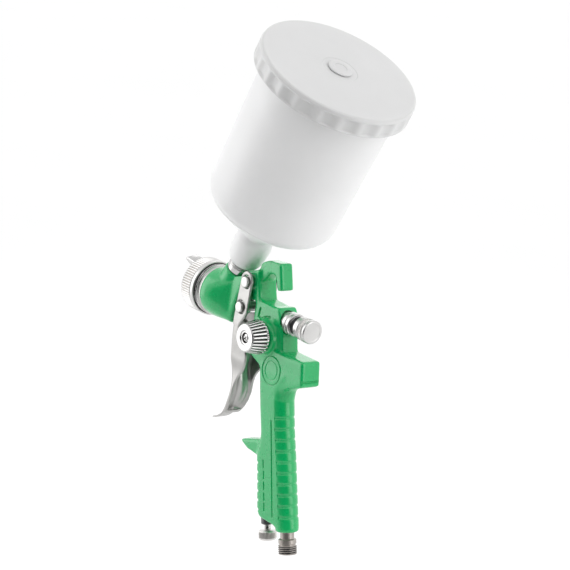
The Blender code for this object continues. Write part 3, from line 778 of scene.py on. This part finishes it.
TRIGGER_STATIONS = (  # z, front x, rear x, outer half width
    (-6.0, 31.2, 42.5, 11.5), (-12.0, 30.6, 38.4, 11.5), (-20.0, 30.0, 37.8, 11.2), (-24.0, 29.7, 41.0, 10.9),
    (-28.5, 29.5, 47.2, 10.5), (-33.0, 29.4, 48.2, 10.1), (-38.0, 29.4, 47.4, 9.8), (-44.0, 29.6, 44.0, 8.4),
    (-50.0, 31.0, 39.6, 8.2), (-56.0, 32.0, 37.2, 8.6), (-62.0, 31.8, 36.0, 9.0), (-68.0, 30.0, 34.2, 8.9),
    (-74.0, 27.2, 31.8, 8.3), (-78.0, 24.6, 29.2, 7.4), (-80.2, 22.9, 27.0, 6.2),
)
PLATE = 1.9
NOSE_R = 2.6  # outer corners of the trigger's nose
INNER_CORNER = (3.6, 3.0)  # how far its inner corners reach back and across
PLATE_GRAIN = 0.36  # voxel size of the trigger's skin
QUARTER = [math.radians(15 * i) for i in range(7)]


def smooth_stations(stations, steps):
    """Catmull-Rom through the stations."""
    out = []
    last = len(stations) - 1
    for i in range(last):
        p = [np.array(stations[min(max(j, 0), last)]) for j in (i - 1, i, i + 1, i + 2)]
        for k in range(steps):
            t = k / steps
            out.append(0.5 * (2 * p[1] + (p[2] - p[0]) * t + (2 * p[0] - 5 * p[1] + 4 * p[2] - p[3]) * t ** 2
                              + (3 * p[1] - p[0] - 3 * p[2] + p[3]) * t ** 3))
    return out + [np.array(stations[-1])]


def trigger_section(z, front, rear, half):
    """A U-shaped slice: a crowned nose with round corners, and two flanges running back."""
    crown = 2.1 * min(1.0, max(0.0, (-z - 14) / 14))
    outer = [(rear, -half)]
    outer += [(front + NOSE_R - NOSE_R * math.sin(a), -half + NOSE_R - NOSE_R * math.cos(a)) for a in QUARTER]
    flat = half - NOSE_R
    outer += [(front - crown * (1 - (y / flat) ** 2), y) for y in np.linspace(-flat, flat, 13)[1:-1]]
    outer += [(x, -y) for x, y in reversed(outer[:8])]
    inside, inner_half = front + PLATE, half - PLATE
    deep, wide = min(INNER_CORNER[0], rear - inside - 0.3), INNER_CORNER[1]
    inner = [(rear, -inner_half)]
    inner += [(inside + deep - deep * math.sin(a), -inner_half + wide - wide * math.cos(a)) for a in QUARTER]
    middle = inner_half - wide
    inner += [(inside - 0.6 * crown * (1 - (y / middle) ** 2), y)
              for y in np.linspace(-middle, middle, 7)[1:-1]]
    inner += [(x, -y) for x, y in reversed(inner[:8])]
    return [(x, y, z) for x, y in outer + inner[::-1]]


def loft(rows):
    bm = bmesh.new()
    rings = [[bm.verts.new(p) for p in row] for row in rows]
    for end in (rings[0], rings[-1]):
        bm.faces.new(end)
    for a, b in zip(rings, rings[1:]):
        for i in range(len(a)):
            bm.faces.new([a[i], a[(i + 1) % len(a)], b[(i + 1) % len(b)], b[i]])
    bmesh.ops.recalc_face_normals(bm, faces=bm.faces)
    return bm


def merge(target, other):
    """Copies one bmesh into another."""
    made = {v: target.verts.new(v.co) for v in other.verts}
    for face in other.faces:
        target.faces.new([made[v] for v in face.verts])
    other.free()


def drilled_plate(outline, low, high, holes):
    """A plate with round holes through it, as a bmesh."""
    obj = build("plate_blank", prism(outline, low, high), Matrix.Identity(4), STEEL)
    cutters = []
    for (x, z), radius in holes:
        drill = prism(arc((x, z), radius, 0, 352.5, 47), low - 1, high + 1)
        cutters.append(build("plate_hole", drill, Matrix.Identity(4), STEEL))
    cut_out(obj, cutters)
    bm = bmesh.new()
    bm.from_mesh(obj.data)
    bm.transform(Matrix.Scale(PER_METRE, 4))
    bpy.data.objects.remove(obj)
    return bm


def make_trigger():
    """The stamped lever: a lofted blade, two drilled arms and a curled lip, fused into one skin."""
    bm = loft([trigger_section(*row) for row in smooth_stations(TRIGGER_STATIONS, 5)])
    top = arc((40.5, 19.3), 6.3, -12, 186, 22)
    arm = top + [(32.0, 0.0), (31.2, -8.0), (31.0, -13.5), (37.2, -14.0), (39.6, -10.5), (43.0, -6.0),
                 (45.0, -2.0)]
    for low, high in ((-11.5, -9.4), (9.4, 11.5)):
        merge(bm, drilled_plate(arm, low, high, ((PIVOT, 4.7), (CROSS_PIN, 4.7))))
    lip = arc((5.0, -64.0), 23.7, -28, -76, 14) + arc((5.0, -64.0), 25.1, -76, -28, 14)
    foot = [(23.6, -77.4), (29.6, -77.6), (28.4, -79.8), (24.6, -80.9), (22.5, -81.2)]
    merge(bm, prism(lip, -5.5, 5.5))
    merge(bm, prism(foot, -6.0, 6.0))
    obj = build("trigger_lever_skin", bm, at_origin(), PLATE_METAL)
    fuse(obj, PLATE_GRAIN)
    co = relax(obj.data, points_of(obj.data), 5)
    blade = np.clip((-16 - co[:, 2]) / 6, 0, 1)
    co = relax(obj.data, co, 16, blade)
    co = relax(obj.data, co, 24, np.clip((-70 - co[:, 2]) / 3, 0, 1))
    set_points(obj.data, co)
    put(obj, "trigger_lever", "chrome", "trigger")


def make_pins():
    """The pivot's stud and screw, and the pin that pulls the needle."""
    left = along_left(PIVOT)
    stud = [(0, -2.9), (1.5, -2.9), (1.5, -9.4), (2.4, -9.4), (2.4, 8.4), (4.15, 8.4), (4.15, 10.4, 0.2),
            (3.75, 10.5, 0.2), (3.75, 12.8, 0.3), (3.3, 13.3, 0.4), (0, 13.5)]
    put(turned("pivot_stud", stud, left, SATIN, 64, 0.15), "gun", "chrome", "trigger_pivot_stud")
    screw = [(0, -11.2), (3.7, -11.1), (4.15, -10.7), (4.15, -9.8), (1.25, -9.8), (1.25, -3.5), (0, -3.5)]
    put(turned("pivot_screw", screw, left, CHROME, 64, 0.15), "gun", "chrome", "trigger_pivot_screw")
    seat = along_left(CROSS_PIN)
    pin = [(0, -11.2), (3.7, -11.1, 0.5), (4.15, -10.6, 0.4), (4.15, -9.3), (3.5, -9.3), (3.5, 8.4),
           (3.0, 8.4), (3.0, 9.0), (4.15, 9.2), (4.15, 10.4, 0.2), (3.75, 10.5, 0.2), (3.75, 12.8, 0.3),
           (3.3, 13.3, 0.4), (0, 13.5)]
    obj = turned("needle_pin", pin, seat, SATIN, 64, 0.15)
    cut_out(obj, [turned("needle_hole", [(0, 30), (1.95, 30), (1.95, 45), (0, 45)], along_x(), STEEL, 40,
                         0.01)])
    obj.data.set_sharp_from_angle(angle=CUT_EDGE)
    put(obj, "cross_pin", "chrome", "trigger_cross_pin")


# --- Fan control ------------------------------------------------------------------------------------------

def make_fan_control():
    place = along_left(FAN_AXIS)
    housing = [(3.05, 5.7), (4.9, 5.7), (4.9, 12.8), (7.5, 12.8), (7.5, 15.9), (4.7, 15.9), (4.7, 18.9),
               (3.05, 18.9)]
    put(turned("fan_housing", housing, place, SATIN, 72, 0.15, hexagon(12.7, 16.0, 13.6, 6.5)),
        "gun", "chrome", "fan_valve_housing")
    knob = [(8.35, 13.4), (11.8, 13.4, 0.35), (11.75, 15.2, 0.4), (9.75, 24.6, 0.5), (9.1, 25.6, 0.7),
            (5.0, 25.6, 0.3), (4.7, 24.9, 0.2), (3.6, 24.9), (3.6, 22.1), (1.65, 22.1), (1.65, 20.1),
            (8.35, 20.1)]
    # The flutes' hollows take near-black metal as painted shade.
    put(turned("fan_grip", knob, place, CHROME, FAN_FLUTES * 14, 0.2,
               ribs(14.3, 25.0, FAN_FLUTES, 1.0, 8.9, 2.2), (14.4, 24.8, 0.5), (0.42, SHADED_GROOVE_METAL)),
        "fan_control", "chrome", "fan_knob")
    head = [(0, 13.5), (1.0, 13.5), (1.0, 22.4), (3.1, 22.4), (3.1, 23.8, 0.5), (2.3, 24.5, 0.6), (0, 24.75)]
    obj = turned("fan_screw", head, place, CHROME, 48, 0.15)
    slots = []
    for turn in (35, 125):
        bm = prism([(-2.0, 23.7), (2.0, 23.7), (2.0, 25.4), (-2.0, 25.4)], -0.42, 0.42)
        slots.append(build("slot_cutter", bm, place @ Matrix.Rotation(math.radians(turn), 4, "Z"), DARK_STEEL_AND_SHADE))
    cut_out(obj, slots)
    obj.data.set_sharp_from_angle(angle=CUT_EDGE)
    put(obj, "fan_control", "chrome", "fan_knob_screw")


# --- Handle fittings --------------------------------------------------------------------------------------

def make_handle_fittings():
    place = along_handle(INLET_SEAT)
    nipple = [(2.85, -12.6), (5.5, -12.6), (5.5, -0.5), (4.7, 0.0), (4.7, 4.3), (6.1, 5.0), (6.1, 7.7),
              (5.4, 8.1), (5.4, 8.7), (6.5, 9.3), (6.5, 14.3), (6.0, 14.9), (2.85, 14.9)]
    # The thread's roots take near-black metal as painted shade.
    put(turned("inlet_nipple", nipple, place, DULL_NICKEL_AND_GROOVE_SHADE, 96, 0.15, thread(9.0, 14.8, 1.34, 0.75, 5.8),
               (9.0, 14.9, 0.16), (0.35, SHADED_GROOVE_METAL)), "gun", "chrome", "air_inlet_nipple")
    place = along_handle(CONTROL_SEAT)
    bush = [(2.85, -9.9), (3.4, -9.9), (3.4, 0.4), (4.3, 0.6), (4.3, 5.7), (3.8, 6.2), (2.85, 6.2)]
    put(turned("control_bush", bush, place, DARK_STEEL_AND_SHADE, 60, 0.15), "gun", "dark_steel", "air_control_bush")
    knob = [(0, 15.5), (1.5, 15.5), (1.5, 10.1), (5.0, 10.1, 0.6), (6.25, 11.1, 0.8), (6.25, 15.7, 0.9),
            (5.2, 17.1, 0.8), (0, 17.1)]
    # The ribs' hollows take darker nickel as painted shade.
    put(turned("control_grip", knob, place, BRIGHT, CONTROL_RIBS * 8, 0.25,
               ribs(11.1, 15.8, CONTROL_RIBS, 0.25, 6.0), (10.8, 16.2, 0.4), (0.16, DULL_NICKEL_AND_GROOVE_SHADE)),
        "air_control", "chrome", "air_control_knob")
    stem = [(0, -16.9), (0.8, -16.7), (2.2, -13.5), (2.2, -6.0), (1.5, -6.0), (1.5, -4.0), (2.2, -4.0),
            (2.2, 9.6), (1.15, 9.6), (1.15, 15.1), (0, 15.1)]
    put(turned("control_stem", stem, place, STEEL, 48, 0.12), "air_control", "steel", "air_control_stem")


def finish_frame_nodes():
    """The CAD nodes that stay visible get real materials."""
    kinds = {
        "air_baffle": DARK_STEEL_AND_SHADE, "needle_packing": NYLON, "needle_spring_seat": STEEL, "needle_collar": BRASS,
        "air_valve_seal": BLACK, "cross_pin_clip": STEEL, "fan_valve_oring": BLACK,
        "fan_valve_stem": STEEL, "air_control_oring": BLACK,
    }
    for name, material in kinds.items():
        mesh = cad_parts[name].data
        mesh.materials.clear()
        mesh.materials.append(material)


# --- Stage ------------------------------------------------------------------------------------------------

VIEW = (math.radians(51.525), math.radians(13.327), math.radians(-7.195))  # turn, height and roll
AIM = (0.043473, 0.0047126)  # how far across and up from the design frame's origin the camera is
CAMERA_FAR = 1.21678  # how far back it is
LENS = 109.896
FLOOR_Z = -0.42
BOXES = (  # name, place from the middle of the object, size, watts
    ("left_box", (-0.98, -0.75, 0.15), (0.7, 1.25), 4.2),
    ("rear_box", (1.2, 0.3, 0.4), (0.8, 1.2), 5.5),
    ("far_box", (-0.95, 0.75, 0.3), (0.6, 0.6), 0.8),
)


def grid_plane(name, half, place, material):
    """A flat square of the studio, which reaches half to each side of its middle."""
    bm = bmesh.new()
    bmesh.ops.create_grid(bm, x_segments=4, y_segments=4, size=half)
    bm.transform(place)
    mesh = bpy.data.meshes.new(name)
    bm.to_mesh(mesh)
    bm.free()
    mesh.materials.append(material)
    obj = linked(name, mesh)
    return obj


def area_light(name, at, aim, size, power):
    light = bpy.data.lights.new(name, "AREA")
    light.shape = "RECTANGLE"
    light.size, light.size_y = size
    light.energy = power
    obj = linked(name, light)
    obj.location = at
    obj.rotation_euler = (aim - at).to_track_quat("-Z", "Y").to_euler()


def facing(across, upward, toward):
    """A turn that points local Z along toward."""
    return Matrix((across, upward, toward)).transposed().to_4x4()


def make_camera():
    turn, lift, roll = VIEW
    back = Vector((math.sin(turn) * math.cos(lift), -math.cos(turn) * math.cos(lift), math.sin(lift)))
    right = Vector((math.cos(turn), math.sin(turn), 0))
    up = back.cross(right)
    across = math.cos(roll) * right - math.sin(roll) * up
    upward = math.sin(roll) * right + math.cos(roll) * up
    centre = across * AIM[0] + upward * AIM[1] + back * CAMERA_FAR + ORIGIN * MM
    data = bpy.data.cameras.new("camera")
    data.sensor_width = 36
    data.lens = LENS
    camera = linked("camera", data)
    camera.matrix_world = Matrix.Translation(centre) @ facing(across, upward, back)
    bpy.context.scene.camera = camera
    return across, upward, back


def make_world():
    world = bpy.data.worlds.new("studio")
    world.use_nodes = True
    background = world.node_tree.nodes["Background"]
    background.inputs["Color"].default_value = (1, 1, 1, 1)
    background.inputs["Strength"].default_value = 1.05
    bpy.context.scene.world = world


def make_stage():
    across, upward, back = make_camera()
    make_world()
    material, tree, shader = new_material("pale_floor", (0.9, 0.9, 0.9), 0.6)
    tint(tree, noise(tree, 2, 2), shader, (0.955, 0.955, 0.955), (0.965, 0.965, 0.965))
    grid_plane("floor", 60, Matrix.Translation((0, 0, FLOOR_Z)), material)
    middle = Vector((0, 0, -0.03))
    # Two dark cards, which the camera doesn't see, give the paint and the metal something dark to reflect.
    flag, _, _ = new_material("flag_cloth", (0.01, 0.01, 0.01), 0.9)
    place = Matrix.Translation(middle + back * 1.5 - Vector((0, 0, 0.65))) @ facing(across, upward, back)
    card = grid_plane("flag_behind_camera", 1.15, place @ Matrix.Diagonal((1.5, 1, 1, 1)), flag)
    card.visible_camera = False
    toward = Vector((0.2, -0.88, -0.42)).normalized()
    low = Matrix.Translation(middle + toward * 0.95) @ toward.to_track_quat("Z", "Y").to_matrix().to_4x4()
    card = grid_plane("flag_in_front_below", 0.72, low, flag)
    card.visible_camera = False
    card.visible_diffuse = False
    card.visible_shadow = False
    for name, offset, size, power in BOXES:
        area_light(name, middle + Vector(offset), middle, size, power)
    bpy.context.scene.view_settings.view_transform = "Standard"


make_stage()
make_casting()
make_cup()
make_head()
make_needle_line()
make_trigger()
make_pins()
make_fan_control()
make_handle_fittings()
finish_frame_nodes()

bpy.context.view_layer.update()
